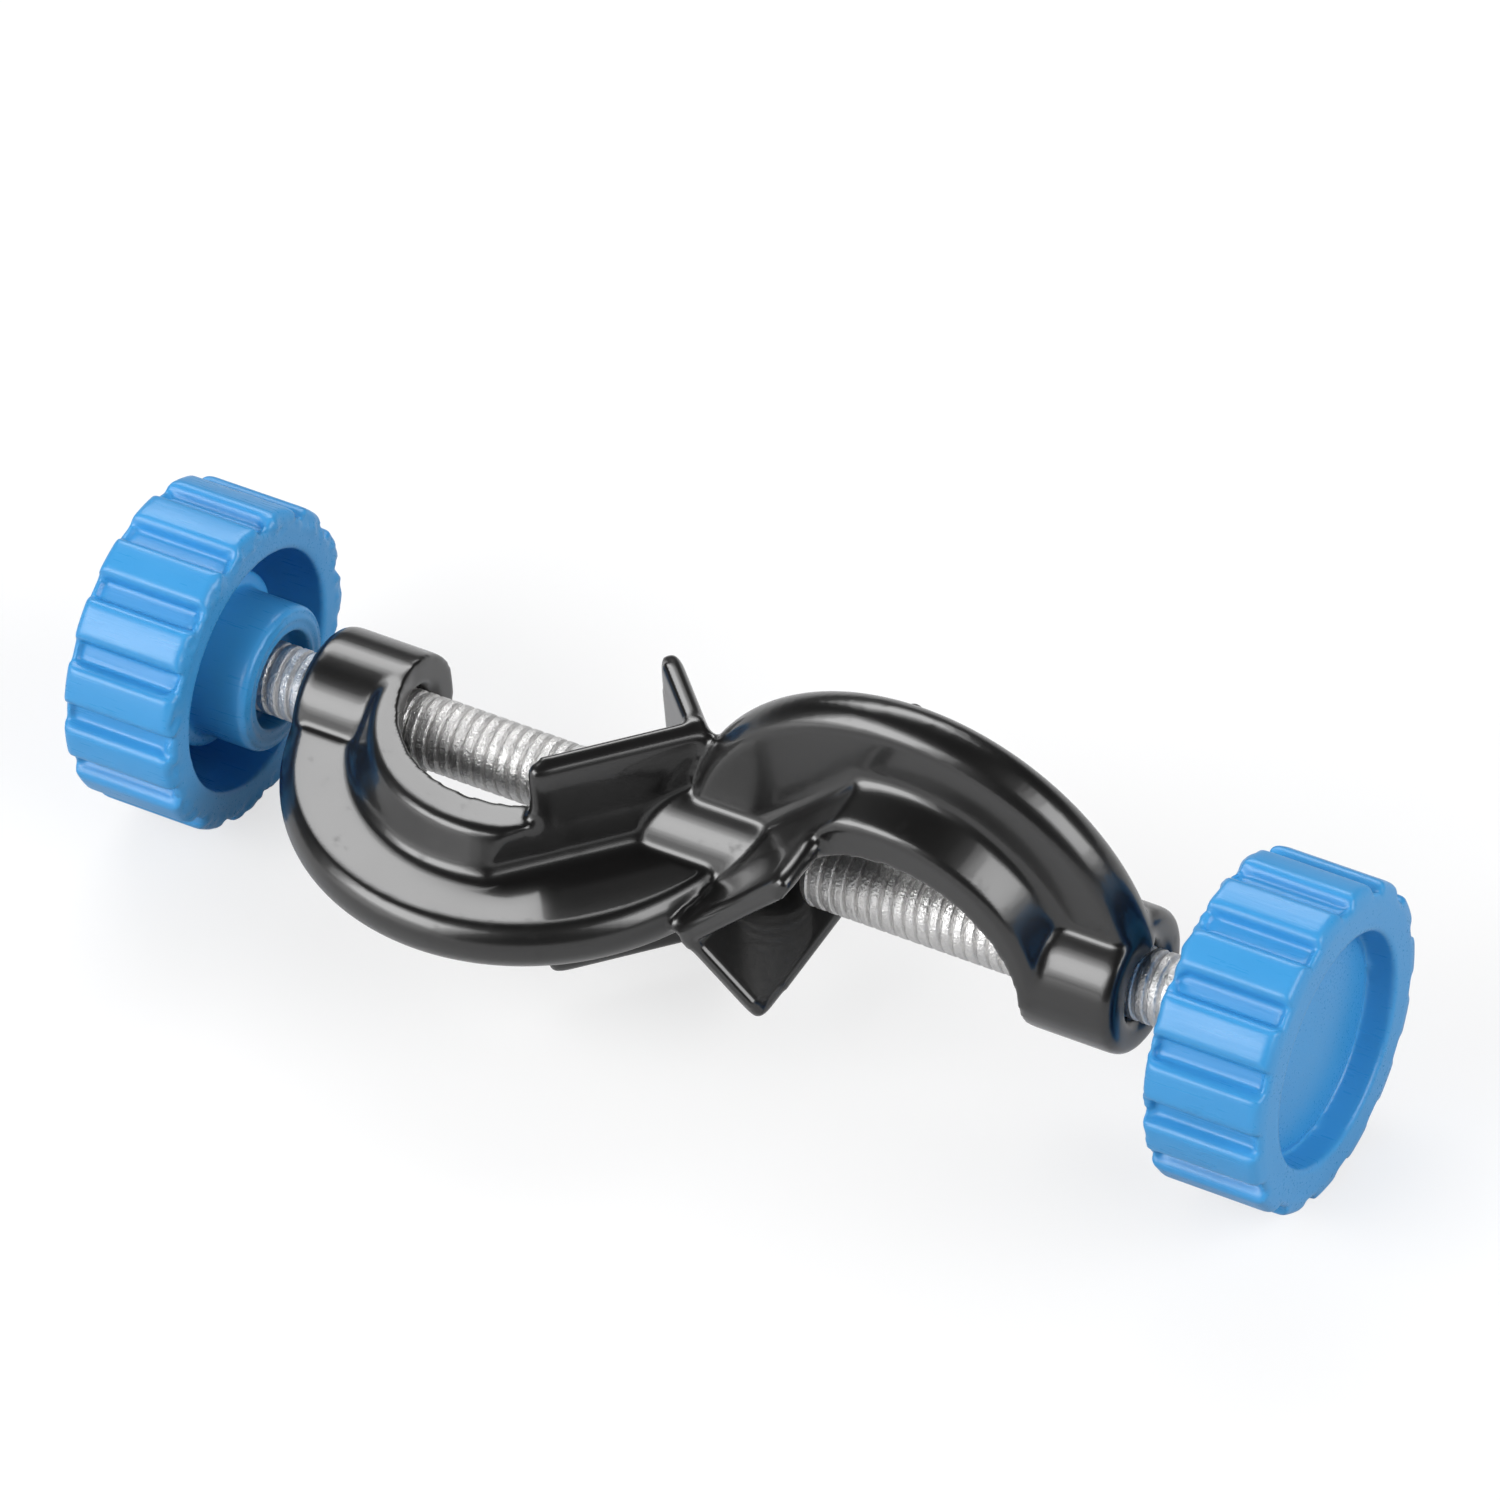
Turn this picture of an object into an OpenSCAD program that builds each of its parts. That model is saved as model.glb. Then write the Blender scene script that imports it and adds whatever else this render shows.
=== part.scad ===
// Right-angle boss head clamp. One S-shaped casting carries two V jaws at right
// angles, and a screw with a ribbed knob closes each jaw on its rod. Millimetres.
// X is the axis of both screws, Z the upright rod's and Y the cross rod's.
// The casting and its fittings are the same on both sides, half a turn about the
// line midway between +Z and -Y apart, so each is drawn once, on the left.

/* [Jaws] */
// Length of each V along its rod
jaw_len = 30.5; // [20:0.5:45]
// Thickness of the V's plates
plate_t = 2.5; // [1.5:0.1:4]
// Long plate of the V, which the hook grows from
long_arm = 20; // [14:0.1:26]
// Short plate of the V, on the open side
short_arm = 13.7; // [8:0.1:20]
// Outer corner of the V to the middle of the clamp
corner_gap = 0.85; // [0.2:0.05:3]
// Rounding of the plates' ends on their outer side
plate_round = 1.5; // [0.3:0.1:2.2]

/* [Hook] */
// Middle of the clamp to the boss's inner face
boss_in = 38.2; // [32:0.1:48]
// Centre of the hook's inner curve above the screw axis
mouth_rise = 1.8; // [0:0.1:3]
// Thickness of the flange at the bottom of the hook
flange_t = 4.5; // [3:0.1:6]
// Width of the flange, a little under the boss
flange_w = 15.8; // [11:0.1:19.8]
// Thickness of the web behind the flange
web_t = 5.8; // [3:0.1:8]
// Width of the sloped shoulder between flange and web
shoulder = 3.4; // [2.6:0.1:5]
// Width of the same shoulder behind the straight plate
back_shoulder = 2.5; // [2:0.1:4]
// Rounding of the flange's outer edge
flange_round = 1.2; // [0.4:0.1:1.5]
// Fillet between the shoulder and the web
web_fillet = 1.9; // [0.6:0.1:2.1]
// Depth of the rounded bead along the web's back
back_bead = 1.7; // [0.5:0.1:2.8]

/* [Boss] */
// Outside diameter, also of the waist between the jaws
boss_d = 16; // [12:0.1:20]
// Length along the screw
boss_len = 11.1; // [6:0.1:16]
// Rounding of the outer end
boss_round = 1.3; // [0.3:0.1:2.5]
// Width of the countersinks in both ends of the hole
sink = 1; // [0.3:0.1:2]

/* [Screws] */
// Outside diameter of the thread
screw_d = 7.94; // [6:0.02:10]
// Room all round the screw in the boss and in the knob
screw_play = 0.05; // [0.02:0.01:0.09]
// Middle of the clamp to the screw's tip, as set
tip_in = 10; // [8.6:0.1:30]
// Chamfer of the first thread at the tip
tip_chamfer = 0.8; // [0.2:0.1:1.5]

/* [Knobs] */
// Outside diameter over the ribs at the open rim
knob_d = 36; // [28:0.5:48]
// Depth of the knob from open rim to outer face
knob_len = 13.6; // [10:0.1:20]
// Number of ribs
ribs = 15; // [8:1:24]
// Width of one rib
rib_w = 4.7; // [3:0.1:7]
// Depth of the grooves between the ribs
groove_d = 1.7; // [0.6:0.1:3]
// Wall between the grooves and the hollow
wall_t = 2.8; // [1.5:0.1:4]
// Depth of the hollow
hollow = 9.5; // [6:0.1:12]
// Outside diameter of the hub in the hollow
hub_d = 16.3; // [12:0.1:20]
// How far the hub stands out of the open rim
hub_out = 3.3; // [0:0.1:6]
// Hub face to the boss, as set
hub_gap = 5.1; // [2:0.1:30]
// Diameter of the recess in the outer face
recess_d = 25.5; // [18:0.1:30]
// Depth of the recess in the outer face
recess = 2.3; // [0.5:0.1:3]
// Turn of the left knob as set, in degrees from a groove on top
left_turn = 17; // [0:1:24]
// Turn of the right knob as set, in degrees from a groove in front
right_turn = 18; // [0:1:24]

/* [Hidden] */
$fn = 64;
part_colors = ["#1b1b1d", "#c4c6c8", "#5fa8e0"];
boss_r = boss_d / 2;
boss_out = boss_in + boss_len;
corner_in = corner_gap + plate_t * sqrt(2);
// The mouth's circle touches the boss's inner face and the long plate
mouth_r = (boss_in + mouth_rise - corner_in) / (1 + sqrt(2));
mouth_x = boss_in - mouth_r;
hook_r = mouth_r - mouth_rise + flange_t;
hook_x = boss_in + 2.2 - hook_r;
back_r = boss_out + 1.2 - hook_x;
web_r = back_r - back_bead;
plate_foot = (hook_x - corner_gap) / sqrt(2);
waist_x = corner_in + plate_t;
bore_r = screw_d / 2 + screw_play;
hub_in = boss_out + hub_gap;
rim_in = hub_in + hub_out;
socket = hub_out + hollow - 2;
knob_r = knob_d / 2;
groove_r = knob_r - groove_d;
hollow_r = groove_r - wall_t;
rim_lip = 0.8;
lip_rise = 0.6;
over = 0.03;
// The frame's origin is the middle of the whole clamp's box
centre_shift = (back_r - knob_r) / 2;

// Node to draw, or all

// Points of an arc of n chords about centre c
function arc(c, r, from, to, n) =
    [for (i = [0 : n]) c + r * [cos(from + (to - from) * i / n), sin(from + (to - from) * i / n)]];

// ---- body_casting ----
// Flange and shoulder in section, x = 0 near the flange's outer edge. The edge is
// rounded, and the slope ends in a fillet that meets the web's face at 8 degrees.
// With rise, the slope runs straight up past the flange's face instead.
module shoulder_section(depth, slope, rise) {
    edge = rise > 0 ? 0 : flange_round;
    meet = 8;
    top = [-0.75 * edge, flange_w / 2 - edge];
    foot = [slope, web_t / 2 + web_fillet * cos(meet) - over];
    span = foot - top;
    lean = atan2(span[1], span[0]) + acos((edge + web_fillet) / norm(span));
    crest = rise > 0
        ? [top + rise * [-tan(lean), 1]]
        : arc(top, edge, 90, lean, 4);
    fillet = arc(foot, web_fillet, 180 + lean, 270 - meet, 5);
    half = concat([[-depth, crest[0][1]]], crest, fillet, [[foot[0], web_t / 2 - 0.15]]);
    polygon(concat(half, [for (i = [len(half) - 1 : -1 : 0]) [half[i][0], -half[i][1]]]));
}

// Web in section, from inside the flange to the rounded bead on its back
module web_section() {
    bead_r = (pow(web_t / 2, 2) + pow(back_bead, 2)) / (2 * back_bead);
    translate([hook_r - 2, -web_t / 2])
        square([web_r - hook_r + 2, web_t]);
    intersection() {
        translate([back_r - bead_r, 0])
            circle(r = bead_r, $fn = 40);
        translate([web_r - 1, -web_t / 2])
            square([back_bead + 2, web_t]);
    }
}

// Sweep about the hook's centre, from the boss round towards the other jaw
module hook_sweep(turn) {
    translate([-hook_x, 0, 0])
        rotate(180)
            rotate_extrude(angle = turn)
                children();
}

// Straight run behind the long plate, outwards from the corner of the V, with
// x = 0 on the plate's back
module plate_run(length, before = 0) {
    translate([-corner_gap, 0, 0])
        rotate([90, 0, -45])
            translate([0, 0, -before])
                linear_extrude(length + before)
                    children();
}

// Curved flange, cut off straight behind the long plate, and the web
module hook() {
    difference() {
        union() {
            intersection() {
                hook_sweep(135)
                    translate([hook_r, 0])
                        shoulder_section(hook_r - mouth_r + 6, shoulder, 0);
                plate_run(hook_x + back_r)
                    translate([-over, 0])
                        shoulder_section(2 * back_r, back_shoulder, 1);
            }
            plate_run(plate_foot + over)
                shoulder_section(plate_t / 2, back_shoulder, 1);
            hook_sweep(165)
                web_section();
        }
        translate([-mouth_x, mouth_rise, 0])
            cylinder(h = 2 * jaw_len, r = mouth_r + over, center = true);
    }
}

module boss() {
    translate([-boss_in, 0, 0])
        rotate([0, -90, 0])
            rotate_extrude() {
                square([boss_r, boss_len - boss_round]);
                square([boss_r - boss_round, boss_len]);
                translate([boss_r - boss_round, boss_len - boss_round])
                    circle(r = boss_round, $fn = 20);
            }
}

// Threaded hole, drawn plain, with a countersink in each end
module screw_hole() {
    mouth = bore_r + sink;
    translate([-boss_in, 0, 0])
        rotate([0, -90, 0])
            rotate_extrude()
                polygon([
                    [0, -8],
                    [mouth, -8],
                    [mouth, 0],
                    [bore_r, sink],
                    [bore_r, boss_len - sink],
                    [mouth, boss_len],
                    [mouth, boss_len + 8],
                    [0, boss_len + 8]
                ]);
}

// Space for the rod, cut to the middle of the V's plates
module rod_space() {
    side = plate_foot * 0.9;
    translate([plate_t / 2 * sqrt(2) - corner_in, 0, 0])
        rotate(135)
            translate([0, 0, -jaw_len])
                cube([side, side, 2 * jaw_len]);
}

// Point on a plate of the V: l along it from the corner and t into it, with
// side 1 on the long plate and -1 on the short one
function on_plate(l, t, side) =
    [-corner_gap - (l + t) / sqrt(2), side * (t - l) / sqrt(2)];

// Both plates of the V in section, with rounded tips
module jaw_section() {
    long_end = long_arm - plate_t / 2;
    short_end = short_arm - plate_t / 2;
    polygon([
        on_plate(0, 0, 1),
        on_plate(long_end, 0, 1),
        on_plate(long_end, plate_t, 1),
        on_plate(plate_t, plate_t, 1),
        on_plate(short_end, plate_t, -1),
        on_plate(short_end, 0, -1)
    ]);
    translate(on_plate(long_end, plate_t / 2, 1))
        circle(d = plate_t);
    translate(on_plate(short_end, plate_t / 2, -1))
        circle(d = plate_t);
}

// What rounding takes off a square corner at the origin
module corner_off(r) {
    c = over - r;
    polygon(concat(arc([c, c], r, 0, 90, 5), [[c, 1], [1, 1], [1, c]]));
}

// Rounding along the outer edge and over the tip of one plate's upper end
module plate_end_off(arm) {
    end = [0, jaw_len / 2];
    plate_run(arm + 1, 1)
        translate(end)
            corner_off(plate_round);
    translate(on_plate(arm, -1, 1))
        rotate([90, 0, -135])
            linear_extrude(plate_t + 2)
                translate(end)
                    corner_off(plate_round);
}

module jaw() {
    difference() {
        linear_extrude(jaw_len, center = true)
            jaw_section();
        for (end = [0, 1])
            mirror([0, 0, end]) {
                plate_end_off(long_arm);
                mirror([0, 1, 0])
                    plate_end_off(short_arm);
            }
    }
}

module placed(tint) {
    color(tint)
        translate([0, centre_shift, -centre_shift])
            children();
}

// A child on the left and its copy on the right
module both_sides() {
    children();
    other_side()
        children();
}

module other_side() {
    rotate(a = 180, v = [0, -1, 1])
        children();
}

// Round waist between the two jaws, hollowed to the middle of their plates
module waist() {
    difference() {
        rotate([0, 90, 0])
            cylinder(h = 2 * waist_x, r = boss_r, center = true);
        both_sides()
            rod_space();
    }
}

module body_casting() {
    placed(part_colors[0])
        difference() {
            union() {
                waist();
                both_sides() {
                    hook();
                    jaw();
                    boss();
                }
            }
            both_sides()
                screw_hole();
        }
}

// ---- left_screw, right_screw ----
module screw() {
    length = hub_in + socket - tip_in;
    translate([-tip_in, 0, 0])
        rotate([0, -90, 0])
            rotate_extrude()
                polygon([
                    [0, 0],
                    [screw_d / 2 - tip_chamfer, 0],
                    [screw_d / 2, tip_chamfer],
                    [screw_d / 2, length],
                    [0, length]
                ]);
}

module left_screw() {
    placed(part_colors[1])
        screw();
}

module right_screw() {
    placed(part_colors[1])
        other_side()
            screw();
}

// ---- left_knob, right_knob ----
// Turned shape of the knob in section, from the open rim at z = 0
module knob_section() {
    collar_r = hub_d / 2 + 1.7;
    floor_z = hollow;
    disc_r = recess_d / 2 - 0.9;
    hole_r = screw_d / 2 + 1.5;
    difference() {
        polygon([
            [0, -hub_out],
            [hub_d / 2 - 0.6, -hub_out],
            [hub_d / 2, 0.6 - hub_out],
            [hub_d / 2, floor_z - 5.3],
            [collar_r, floor_z - 5.3],
            [collar_r, floor_z],
            [hollow_r, floor_z],
            [hollow_r, 0],
            [groove_r + lip_rise - 0.3, 0],
            [groove_r + lip_rise, 0.3],
            [groove_r + lip_rise, rim_lip],
            [groove_r, rim_lip],
            [groove_r, knob_len - rim_lip],
            [groove_r + lip_rise, knob_len - rim_lip],
            [groove_r + lip_rise, knob_len - 0.4],
            [groove_r + lip_rise - 0.4, knob_len],
            [recess_d / 2, knob_len],
            [recess_d / 2 - 0.3, knob_len - recess - 0.4],
            [disc_r, knob_len - recess - 0.4],
            [disc_r, knob_len - recess],
            [0, knob_len - recess + 0.4]
        ]);
        translate([-over, -hub_out - over])
            square([hole_r + over, 3 + over]);
    }
}

module rib_section() {
    corner = 1.1;
    for (side = [-1, 1])
        translate([knob_r - corner, side * (rib_w / 2 - corner)])
            circle(r = corner, $fn = 16);
    translate([groove_r - 1, -rib_w / 2])
        square([knob_r - groove_r + 1 - corner, rib_w]);
    translate([groove_r - 1, corner - rib_w / 2])
        square([knob_r - groove_r + 1, rib_w - 2 * corner]);
}

// Outline that rounds the ends of all the ribs
module rib_limit() {
    nose = 1;
    edge = 0.15;
    translate([hollow_r + 1, edge])
        square([knob_r - hollow_r - 1 - nose, knob_len - 2 * edge]);
    translate([hollow_r + 1, edge + nose])
        square([knob_r - hollow_r - 1, knob_len - 2 * (edge + nose)]);
    for (end = [edge + nose, knob_len - edge - nose])
        translate([knob_r - nose, end])
            circle(r = nose, $fn = 16);
}

module knob(turn) {
    translate([-rim_in, 0, 0])
        rotate([0, -90, 0])
            difference() {
                union() {
                    rotate_extrude()
                        knob_section();
                    intersection() {
                        rotate_extrude()
                            rib_limit();
                        linear_extrude(knob_len)
                            for (i = [0 : ribs - 1])
                                rotate((i + 0.5) * 360 / ribs + turn)
                                    rib_section();
                    }
                }
                translate([0, 0, -hub_out])
                    cylinder(h = socket, r = bore_r);
            }
}

module left_knob() {
    placed(part_colors[2])
        knob(left_turn);
}

module right_knob() {
    placed(part_colors[2])
        other_side()
            knob(right_turn);
}

body_casting();
left_screw();
right_screw();
left_knob();
right_knob();
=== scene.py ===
import math

import bmesh
import bpy
from mathutils import Matrix, Vector, noise


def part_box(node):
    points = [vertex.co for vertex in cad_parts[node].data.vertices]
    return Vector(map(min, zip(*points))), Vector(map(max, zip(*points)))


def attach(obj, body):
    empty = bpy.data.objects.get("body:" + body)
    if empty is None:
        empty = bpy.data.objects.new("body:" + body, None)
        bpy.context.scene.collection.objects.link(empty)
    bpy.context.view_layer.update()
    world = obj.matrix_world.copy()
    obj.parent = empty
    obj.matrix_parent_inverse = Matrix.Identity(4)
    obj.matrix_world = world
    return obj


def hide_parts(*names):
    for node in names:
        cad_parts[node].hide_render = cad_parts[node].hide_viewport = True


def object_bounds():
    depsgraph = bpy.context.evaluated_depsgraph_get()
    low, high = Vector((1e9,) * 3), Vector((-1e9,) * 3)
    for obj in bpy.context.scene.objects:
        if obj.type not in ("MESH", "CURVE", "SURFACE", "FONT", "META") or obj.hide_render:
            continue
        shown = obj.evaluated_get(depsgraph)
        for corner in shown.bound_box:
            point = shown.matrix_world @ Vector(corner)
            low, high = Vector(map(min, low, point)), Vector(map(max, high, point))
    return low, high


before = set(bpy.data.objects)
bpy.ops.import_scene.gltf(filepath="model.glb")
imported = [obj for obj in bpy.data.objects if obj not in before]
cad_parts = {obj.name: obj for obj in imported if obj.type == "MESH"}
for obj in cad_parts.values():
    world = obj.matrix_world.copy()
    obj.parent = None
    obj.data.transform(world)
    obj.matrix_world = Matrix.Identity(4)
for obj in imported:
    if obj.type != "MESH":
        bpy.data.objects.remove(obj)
cad_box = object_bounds()
MM = 0.001
# Both screws and both knobs lie on one line along X
screw_low, screw_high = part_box("left_screw")
AXIS_Y = (screw_low.y + screw_high.y) / 2
AXIS_Z = (screw_low.z + screw_high.z) / 2


# ---- Body casting ----
# The S-shaped body is one aluminium-alloy die casting. Its corners are rounded
# and its inner angles filled by the die, and a thick glossy black coat flows
# over them, with a faint orange peel where the light falls on it.
class Wire:
    """A socket of a material's nodes, used in sums like a number."""

    def __init__(self, tree, socket):
        self.tree = tree
        self.socket = socket

    def node(self, kind, settings, inputs, output=0):
        made = self.tree.nodes.new(kind)
        for name, value in settings.items():
            if name == "stops":
                ramp = made.color_ramp
                while len(ramp.elements) < len(value):
                    ramp.elements.new(0.5)
                for element, (position, level) in zip(ramp.elements, value):
                    element.position = position
                    element.color = (level, level, level, 1.0)
            else:
                setattr(made, name, value)
        for name, value in inputs.items():
            socket = made.inputs[name]
            if isinstance(value, Wire):
                self.tree.links.new(value.socket, socket)
            else:
                socket.default_value = value
        return Wire(self.tree, made.outputs[output])

    def math(self, operation, *values):
        return self.node("ShaderNodeMath", {"operation": operation}, dict(enumerate(values)))

    def __add__(self, other):
        return self.math("ADD", self, other)

    def __mul__(self, other):
        return self.math("MULTIPLY", self, other)

    def __sub__(self, other):
        return self.math("SUBTRACT", self, other)

    def __rsub__(self, other):
        return self.math("SUBTRACT", other, self)

    def clamped(self, low=0.0, high=1.0):
        return self.node("ShaderNodeClamp", {}, {"Value": self, "Min": low, "Max": high})

    def blend(self, first, second):
        """First colour at 0, second colour at 1."""
        mix = {"data_type": "RGBA"}
        return self.node("ShaderNodeMix", mix, {0: self, 6: first, 7: second}, 2)

    def noise(self, size_mm, detail=2.0, rough=0.5, stretch=(1.0, 1.0, 1.0)):
        """Noise on the object's own coordinates, with features of that size."""
        scaled = self.node(
            "ShaderNodeVectorMath", {"operation": "MULTIPLY"}, {0: self, 1: stretch}
        )
        inputs = {"Vector": scaled, "Scale": 1.0 / (size_mm * MM)}
        inputs.update({"Detail": detail, "Roughness": rough})
        return self.node("ShaderNodeTexNoise", {}, inputs)

    def bump(self, strength, depth_mm):
        """Normal of a surface with this as its height."""
        inputs = {"Strength": strength, "Distance": depth_mm * MM, "Height": self}
        return self.node("ShaderNodeBump", {}, inputs)


def start_material(name):
    """New material, its shader, and the object's own coordinates in it."""
    material = bpy.data.materials.new(name)
    material.use_nodes = True
    tree = material.node_tree
    surface = tree.nodes["Principled BSDF"]
    place = tree.nodes.new("ShaderNodeTexCoord").outputs["Object"]
    return material, surface, Wire(tree, place)


def set_surface(surface, values):
    for name, value in values.items():
        socket = surface.inputs[name]
        if isinstance(value, Wire):
            value.tree.links.new(value.socket, socket)
        else:
            socket.default_value = value


def add_object(name, data):
    added = bpy.data.objects.new(name, data)
    bpy.context.scene.collection.objects.link(added)
    return added


def reshape(mesh, change):
    """Opens a mesh for editing, changes it and writes it back."""
    form = bmesh.new()
    form.from_mesh(mesh)
    change(form)
    form.to_mesh(mesh)
    form.free()


def smooth(form, verts, passes):
    for _ in range(passes):
        bmesh.ops.smooth_vert(
            form, verts=verts, factor=0.5, use_axis_x=True, use_axis_y=True, use_axis_z=True
        )


def rounded_copy(node, name, voxel_mm, passes=4):
    """Merged copy of a CAD node, remeshed finely and with its edges eased."""
    form = bmesh.new()
    form.from_mesh(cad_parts[node].data)
    bmesh.ops.remove_doubles(form, verts=form.verts, dist=0.002 * MM)
    mesh = bpy.data.meshes.new(name)
    form.to_mesh(mesh)
    form.free()
    piece = add_object(name, mesh)
    remesh = piece.modifiers.new("Remesh", "REMESH")
    remesh.mode = "VOXEL"
    remesh.voxel_size = voxel_mm * MM
    graph = bpy.context.evaluated_depsgraph_get()
    piece.data = bpy.data.meshes.new_from_object(piece.evaluated_get(graph))
    piece.modifiers.clear()
    reshape(piece.data, lambda form: smooth(form, form.verts, passes))
    piece.data.shade_smooth()
    return piece


# Both V jaws, in mm: thickness and half width of the plates, long and short
# plate, and outer corner to the middle of the clamp
PLATE = 2.5
JAW_HALF = 15.25
ARMS = (20.0, 13.7)
CORNER_GAP = 0.85
# How far the rounding reaches from a plate's side, from its end, and from both
# where they meet, and the skin of the inner face that stays flat
SIDE_REACH = 3.6
END_REACH = 2.4
TIP_SIDE_REACH = 5.0
TIP_END_REACH = 2.0
FLAT_SKIN = 0.7
PLATE_END_PASSES = 24


def beside_plate_end(point):
    """True for a point of a jaw plate, off its inner face, near its open edges."""
    x, y, z = point.x / MM, (point.y - AXIS_Y) / MM, (point.z - AXIS_Z) / MM
    if x > 0:
        x, y, z = -x, -z, -y
    across = -(x + CORNER_GAP) * math.sqrt(2)
    to_side = JAW_HALF - abs(z)
    for arm, side in zip(ARMS, (1, -1)):
        depth = (across + side * y * math.sqrt(2)) / 2
        along = across - depth
        to_end = arm - along
        # A little past the plate all round, where the remeshed surface may lie
        if -0.6 < depth < PLATE + 0.4 and along > 0.5 and to_end > -0.6:
            if to_end < TIP_END_REACH and to_side < TIP_SIDE_REACH:
                return True
            near_edge = to_side < SIDE_REACH or to_end < END_REACH
            return depth < PLATE - FLAT_SKIN and near_edge
    return False


def round_plate_ends(form):
    ends = [vert for vert in form.verts if beside_plate_end(vert.co)]
    smooth(form, ends, PLATE_END_PASSES)


black_coat, surface, place = start_material("black_coat")
peel = place.noise(1.6, 3.0) * 0.7 + place.noise(0.35) * 0.3
flow = place.noise(14.0)
scuff = (place.noise(3.0, 4.0, 0.6) * 6.0 - 3.7).clamped()
set_surface(surface, {
    "Base Color": (flow * 0.5 + 0.25).blend(
        (0.003, 0.003, 0.0035, 1), (0.006, 0.0055, 0.005, 1)),
    "Roughness": (flow * 0.12 + scuff * 0.12 + 0.26).clamped(0.26, 0.5),
    "IOR": 1.55,
    "Coat Weight": (1.0 - scuff * 0.5).clamped(),
    "Coat Roughness": 0.11,
    "Normal": peel.bump(0.12, 0.05),
})
casting = rounded_copy("body_casting", "coated_casting", 0.39)
reshape(casting.data, round_plate_ends)
casting.data.materials.append(black_coat)
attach(casting, "casting")
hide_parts("body_casting")


# ---- Clamping screws ----
# Fully threaded steel screws, 5/16 inch with 18 threads to the inch, rolled and
# bright zinc plated. The first thread at the tip is chamfered.
SCREW_R = 3.97 * MM
PITCH = 25.4 / 18 * MM
# Radii of the thread's root, of its rounded crest's edge, and of the tip's end
ROOT_R = SCREW_R - 0.45 * MM
SHOULDER_R = SCREW_R - 0.09 * MM
TIP_R = SCREW_R - 0.8 * MM
# One thread from root to root: share of the pitch, and radius there
PROFILE = [
    (0.0, ROOT_R), (0.02, ROOT_R), (0.13, SHOULDER_R), (0.26, SCREW_R),
    (0.74, SCREW_R), (0.87, SHOULDER_R), (0.98, ROOT_R), (1.0, ROOT_R),
]
STEPS_A_TURN = 40


def cut_end(form, x, side):
    """Cuts a thread off square at x, and closes the cut."""
    found = bmesh.ops.bisect_plane(
        form, geom=form.verts[:] + form.edges[:] + form.faces[:], dist=1e-7,
        plane_co=(x, 0, 0), plane_no=(side, 0, 0), clear_outer=True,
    )
    rim = [edge for edge in found["geom_cut"] if isinstance(edge, bmesh.types.BMEdge)]
    bmesh.ops.contextual_create(form, geom=rim)


def thread(node, name, outward):
    """Right-hand thread swept past both ends of a plain CAD screw and cut back to it."""
    low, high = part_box(node)
    length = high.x - low.x
    turns = int(length / PITCH) + 3
    form = bmesh.new()
    rail = [form.verts.new(((share - 1.5) * PITCH, r, 0.0)) for share, r in PROFILE]
    edges = [form.edges.new(pair) for pair in zip(rail, rail[1:])]
    bmesh.ops.spin(
        form, geom=rail + edges, cent=(0, 0, 0), axis=(1, 0, 0), angle=2 * math.pi * turns,
        dvec=(PITCH / STEPS_A_TURN, 0, 0), steps=STEPS_A_TURN * turns, use_duplicate=False,
    )
    bmesh.ops.remove_doubles(form, verts=form.verts, dist=0.004 * MM)
    cut_end(form, 0.0, -1)
    cut_end(form, length, 1)
    # Chamfer on the first thread
    for vert in form.verts:
        radius = math.hypot(vert.co.y, vert.co.z)
        limit = TIP_R + vert.co.x
        if radius > limit:
            vert.co.y *= limit / radius
            vert.co.z *= limit / radius
    turn = Matrix.Rotation(math.pi if outward < 0 else 0.0, 4, "Z")
    tip = high.x if outward < 0 else low.x
    centre = Matrix.Translation((tip, AXIS_Y, AXIS_Z))
    bmesh.ops.transform(form, matrix=centre @ turn, verts=form.verts)
    bmesh.ops.recalc_face_normals(form, faces=form.faces)
    mesh = bpy.data.meshes.new(name)
    form.to_mesh(mesh)
    form.free()
    mesh.shade_smooth()
    mesh.set_sharp_from_angle(angle=math.radians(14))
    return add_object(name, mesh)


bright_zinc, surface, place = start_material("bright_zinc")
rolled = place.noise(0.26, 2.0, 0.6)
dull = place.noise(1.6, 3.0, 0.55)
set_surface(surface, {
    "Base Color": (dull * 0.7 + rolled * 0.5).clamped().blend(
        (0.68, 0.68, 0.69, 1), (0.98, 0.97, 0.95, 1)),
    "Metallic": 1.0,
    "Roughness": (dull * 0.22 + rolled * 0.16 + 0.18).clamped(0.26, 0.55),
    "Normal": rolled.bump(1.0, 0.16),
})
for node, outward in (("left_screw", -1), ("right_screw", 1)):
    screw = thread(node, node + "_thread", outward)
    screw.data.materials.append(bright_zinc)
    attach(screw, node)
    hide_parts(node)


# ---- Knobs ----
# Each knob is one moulding in sky-blue plastic, shot round the end of its screw.
# The die is polished, so the ribs shine, and handling has left fine dull lines.
# A little flash stands in the grooves at the open rim.
HUB_OUT = 3.3 * MM
GROOVE_R = 16.7 * MM
# Flash: its height, how far in from the rim it lies, and its reach along the
# knob and across the groove
FLASH = 0.62 * MM
FLASH_SETBACK = 0.6 * MM
FLASH_REACH = 1.6 * MM
FLASH_BAND = 1.3 * MM
# Fine rings turned into the end of the hub
HUB_END_R = 7.6 * MM
HUB_END_SKIN = 0.5 * MM
RING_DEPTH = 0.16 * MM
RING_WIDTH = 1.25 * MM
RING_CREST_R = 6.3 * MM
# The recess in the outer face, and how much deeper it is drawn than in the CAD
RECESS_R = 13.0 * MM
RECESS_REACH = 3.0 * MM
RECESS_STRETCH = 0.3


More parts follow.
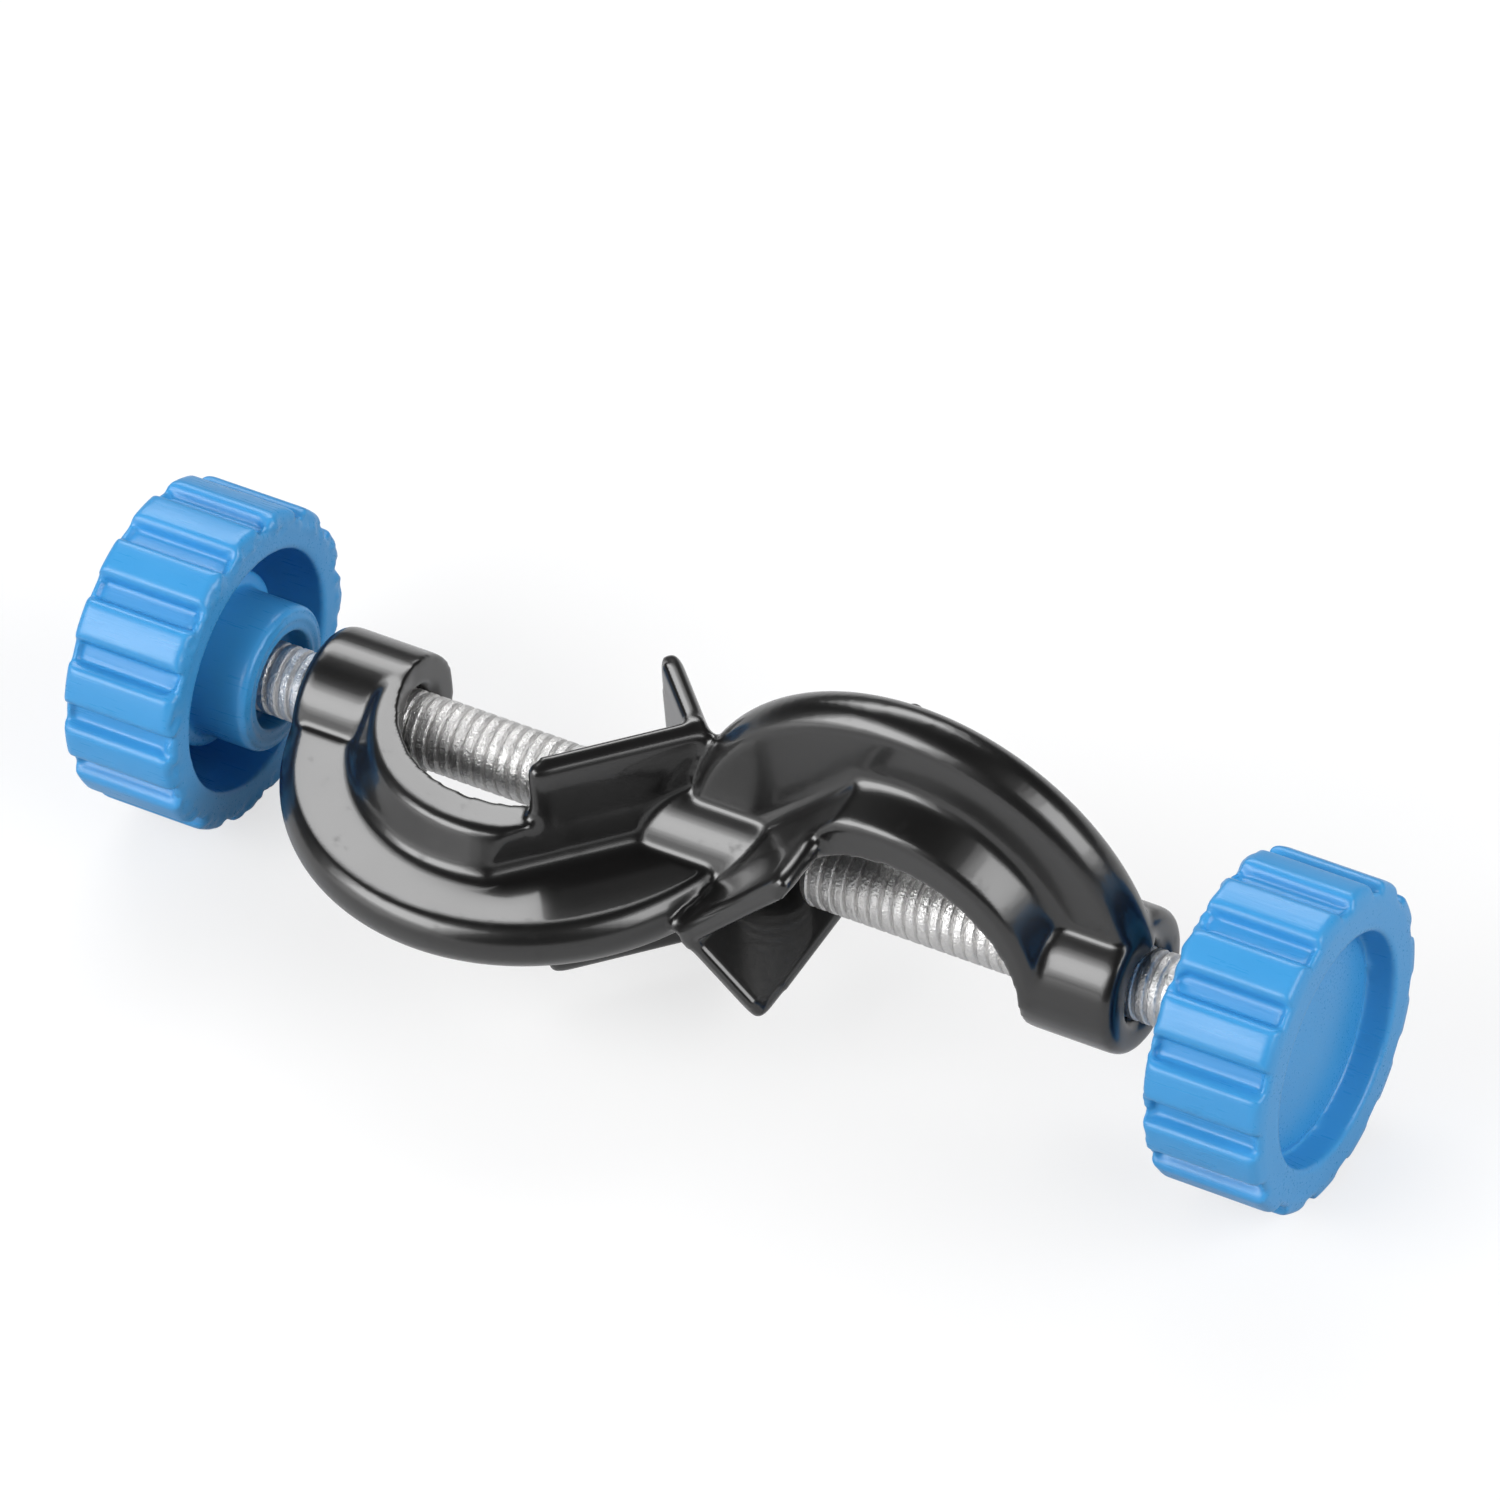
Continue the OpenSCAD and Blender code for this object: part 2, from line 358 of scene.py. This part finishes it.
def moulding_marks(form, node, inward):
    """Flash round the open rim, rings on the hub's end, and a deeper outer recess."""
    outer_face, hub_end = (corner.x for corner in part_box(node)[::inward])
    for vert in form.verts:
        radius = math.hypot(vert.co.y - AXIS_Y, vert.co.z - AXIS_Z)
        behind = (hub_end - vert.co.x) * inward
        near_rim = 1.0 - abs(behind - HUB_OUT - FLASH_SETBACK) / FLASH_REACH
        in_groove = 1.0 - abs(radius - GROOVE_R) / FLASH_BAND
        if near_rim > 0.0 and in_groove > 0.0:
            lump = noise.noise(vert.co / (1.5 * MM)) + 0.4 * noise.noise(vert.co / (0.8 * MM))
            vert.co += vert.normal * (FLASH * lump * near_rim * in_groove)
        elif radius < HUB_END_R and behind < HUB_END_SKIN:
            ring = 0.5 + 0.5 * math.cos(2 * math.pi * (radius - RING_CREST_R) / RING_WIDTH)
            vert.co.x -= inward * RING_DEPTH * ring
        sunk = (vert.co.x - outer_face) * inward
        if radius < RECESS_R and 0.0 < sunk < RECESS_REACH:
            vert.co.x += inward * RECESS_STRETCH * sunk


blue_plastic, surface, place = start_material("blue_plastic")
drawn = place.noise(0.34, 3.0, 0.6, (0.06, 1.0, 1.0))
cloud = place.noise(9.0)
set_surface(surface, {
    "Base Color": cloud.blend((0.040, 0.285, 0.62, 1), (0.052, 0.320, 0.67, 1)),
    "Roughness": (drawn * 0.26 + cloud * 0.08 + 0.14).clamped(0.18, 0.5),
    "Normal": drawn.bump(0.45, 0.05),
})
for node, inward in (("left_knob", 1), ("right_knob", -1)):
    knob = rounded_copy(node, node + "_moulding", 0.28)
    reshape(knob.data, lambda form: moulding_marks(form, node, inward))
    knob.data.materials.append(blue_plastic)
    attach(knob, node)
    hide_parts(node)


# ---- Stage ----
# A wide white floor under the clamp, a dim room with a bright skyline, four soft
# boxes round the clamp, and the camera looking down on the front from the right.
FLOOR_R = 6.0
FLOOR_GAP = 0.2 * MM
sheet = bmesh.new()
bmesh.ops.create_circle(sheet, cap_ends=True, segments=96, radius=FLOOR_R)
bmesh.ops.translate(sheet, verts=sheet.verts, vec=(0, 0, cad_box[0].z - FLOOR_GAP))
floor_mesh = bpy.data.meshes.new("white_floor")
sheet.to_mesh(floor_mesh)
sheet.free()
floor = add_object("white_floor", floor_mesh)


def seen_directly(wire, in_mirrors=1.0):
    """1 for rays from the camera and through clear parts, less in mirrors, 0 in soft light."""
    camera_ray, mirror_ray, clear_ray = (
        wire.node("ShaderNodeLightPath", {}, {}, name)
        for name in ("Is Camera Ray", "Is Glossy Ray", "Is Transmission Ray")
    )
    return (camera_ray + mirror_ray * in_mirrors + clear_ray).clamped()


# The paper gives grey light back to the clamp. Seen directly it is nearly all
# glow, which hides the room's edge and leaves the clamp's shadow faint.
white, surface, place = start_material("white_floor")
set_surface(surface, {
    "Base Color": (0.48, 0.48, 0.48, 1), "Roughness": 0.9, "Specular IOR Level": 0.0})
faint = place.node("ShaderNodeBsdfDiffuse", {}, {"Color": (0.3, 0.3, 0.3, 1)})
away = place.node("ShaderNodeVectorMath", {"operation": "LENGTH"}, {0: place}, "Value")
# Painted light: from 0.3 m out from its middle the floor glows brighter, a painted pool of
# light that shows in the clamp's reflections
far_painted_glow = (away - 0.3).clamped() * 0.45
glow = place.node("ShaderNodeEmission", {}, {"Strength": far_painted_glow + 0.68})
shown = place.node("ShaderNodeAddShader", {}, {0: faint, 1: glow})
paper = Wire(place.tree, surface.outputs[0])
sheet_mix = place.node(
    "ShaderNodeMixShader", {}, {0: seen_directly(place, 0.2), 1: paper, 2: shown})
place.tree.links.new(
    sheet_mix.socket, place.tree.nodes["Material Output"].inputs["Surface"])
floor.data.materials.append(white)

world = bpy.data.worlds.new("studio")
bpy.context.scene.world = world
world.use_nodes = True
sky = world.node_tree.nodes["Background"]
generated = world.node_tree.nodes.new("ShaderNodeTexCoord").outputs["Generated"]
way = Wire(world.node_tree, generated)
height = way.node("ShaderNodeSeparateXYZ", {}, {0: way}, "Z")
SKYLINE = [(0.0, 0.8), (0.06, 0.3), (0.18, 0.04), (1.0, 0.02)]
room = height.node("ShaderNodeValToRGB", {"stops": SKYLINE}, {"Fac": height})
camera_ray = way.node("ShaderNodeLightPath", {}, {}, "Is Camera Ray")
to_camera = camera_ray.blend(room, (1, 1, 1, 1))
world.node_tree.links.new(
    seen_directly(way).blend((0.18, 0.18, 0.19, 1), to_camera).socket, sky.inputs["Color"])

LAMP_AWAY = 1.2
# Three panes make one lamp: degrees wider or narrower, and share of the light.
# They stand a few millimetres apart, the widest at the back.
PANES = (("_middle", -9, 0.5), ("_cloth", 0, 0.3), ("_edge", 10, 0.25))


def toward(azimuth, elevation):
    """Direction from the clamp, in radians from the front and above the floor."""
    level = math.cos(elevation)
    return Vector((math.sin(azimuth) * level, -math.cos(azimuth) * level, math.sin(elevation)))


def facing(direction):
    """Turn of a lamp or camera that looks back at the clamp from there."""
    return direction.to_track_quat("Z", "Y").to_matrix().to_4x4()


def soft_box(name, azimuth, elevation, wide, high, radiance):
    """Rectangular lamp in that direction, in degrees, brightest in its middle."""
    direction = toward(math.radians(azimuth), math.radians(elevation))
    for pane, grow, share in PANES:
        lamp = bpy.data.lights.new(name + pane, "AREA")
        lamp.shape = "RECTANGLE"
        lamp.size = 2 * LAMP_AWAY * math.tan(math.radians((wide + grow) / 2))
        lamp.size_y = 2 * LAMP_AWAY * math.tan(math.radians((high + grow) / 2))
        lamp.energy = share * radiance * math.pi * lamp.size * lamp.size_y
        box = add_object(name + pane, lamp)
        middle = direction * (LAMP_AWAY + grow * MM)
        box.matrix_world = Matrix.Translation(middle) @ facing(direction)
        box.visible_camera = False


soft_box("front_box", -37, 34, 46, 31, 5.9)
soft_box("low_front_box", -37, 8, 52, 14, 1.4)
soft_box("rear_box", -146, 43, 42, 22, 4.8)
soft_box("side_box", 88, 35, 48, 34, 4.4)

CAMERA_AWAY = 1.25617
camera_data = bpy.data.cameras.new("camera")
camera_data.sensor_width = 36.0
camera_data.lens = 289.46
camera = add_object("camera", camera_data)
azimuth, elevation, roll = math.radians(33.036), math.radians(44.153), math.radians(5.171)
back = toward(azimuth, elevation)
aim = Vector((-1.0084, 11.4865, 1.6138)) * MM
camera.matrix_world = (
    Matrix.Translation(aim + back * CAMERA_AWAY)
    @ facing(back)
    @ Matrix.Rotation(-roll, 4, "Z")
)
bpy.context.scene.camera = camera
bpy.context.scene.view_settings.view_transform = "Standard"
